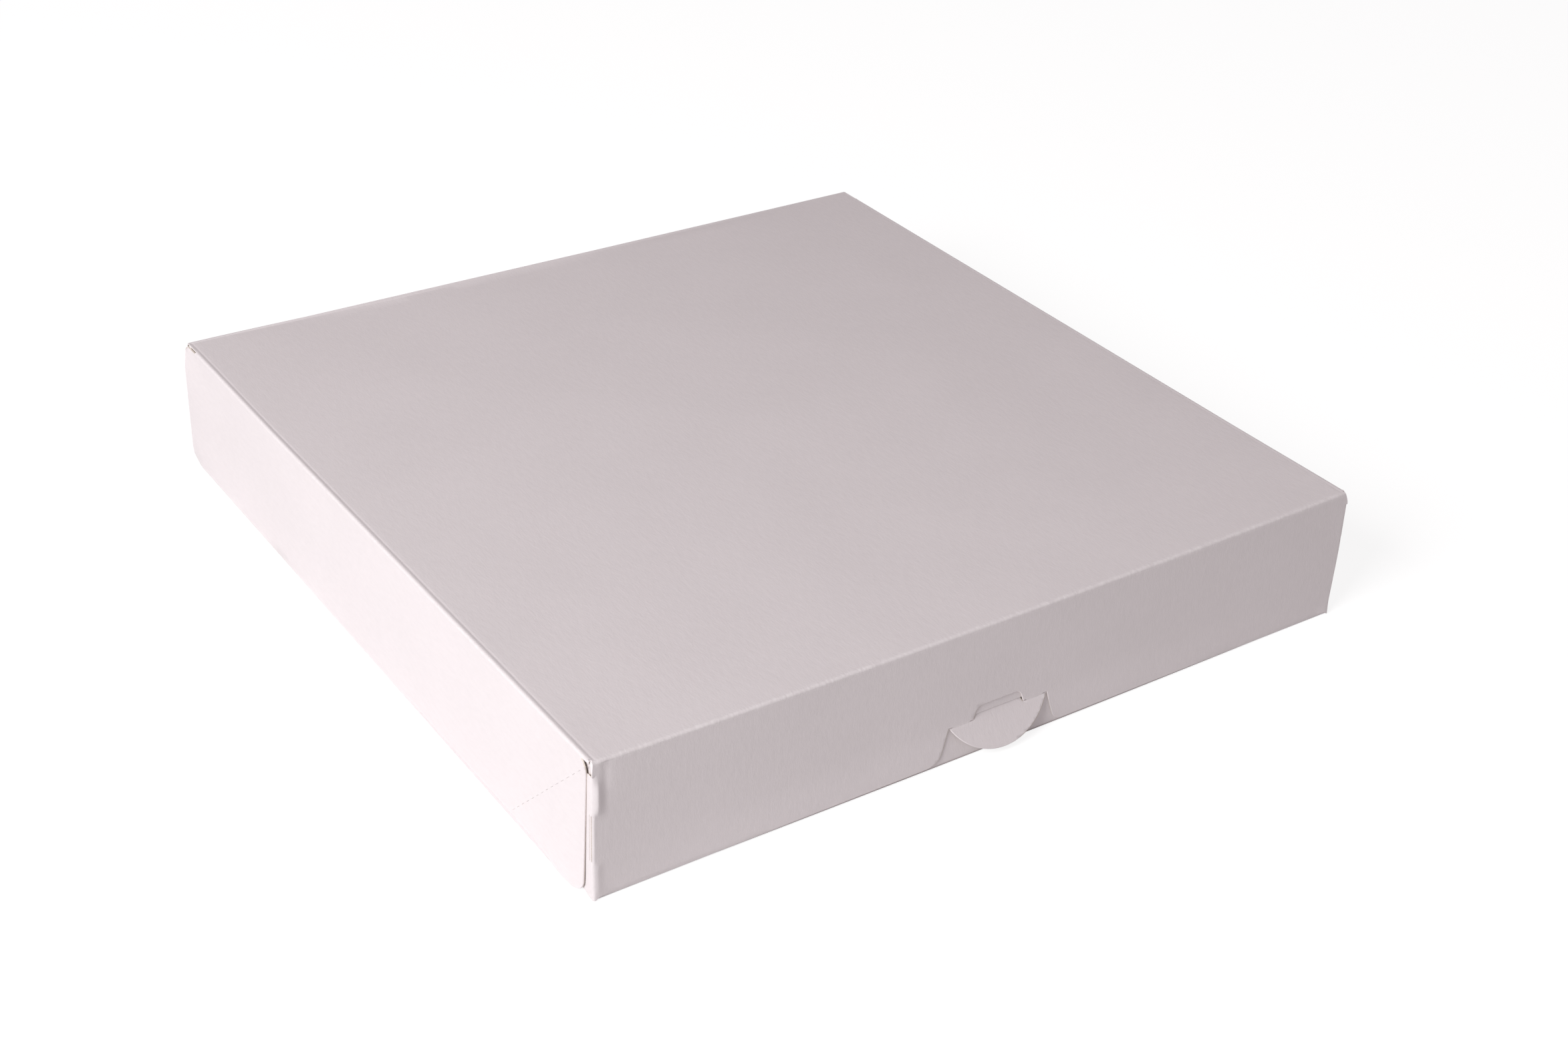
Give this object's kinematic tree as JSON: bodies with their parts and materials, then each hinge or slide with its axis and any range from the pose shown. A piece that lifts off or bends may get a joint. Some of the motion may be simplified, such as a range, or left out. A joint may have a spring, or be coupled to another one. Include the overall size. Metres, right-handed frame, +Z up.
{
  "type": "cake box",
  "caption": "Square, shallow cake box of folded white board: a glued tray under a hinged slip-over lid, with a half-round lock tab in the lid's front.",
  "frame": {"origin": "middle of the base's flat underside", "axes": "+Z up, -Y towards the front with the lock tab, +X to the right seen from the front; the lid hinges at the back"},
  "size_m": [0.3, 0.3047, 0.05],
  "materials": {
    "tray_board": "solid board, satin white coating outside, plain warm white inside",
    "lid_board": "solid board, satin white coating outside, plain warm white inside"
  },
  "bodies": {
    "tray": {"tray": "tray_board"},
    "lid": {"lid": "lid_board"},
    "lock_tab": {"lock_tab": "lid_board"}
  },
  "joints": [
    {"name": "lid_hinge", "type": "hinge", "parent": "tray", "child": "lid", "pos_m": [0, 0.14977, 0.04977], "axis": [-1, 0, 0], "range_deg": [0, 120]},
    {"name": "lock_tab_hinge", "type": "hinge", "parent": "lid", "child": "lock_tab", "pos_m": [0, -0.14977, 0.0133], "axis": [-1, 0, 0], "range_deg": [0, 60]}
  ]
}
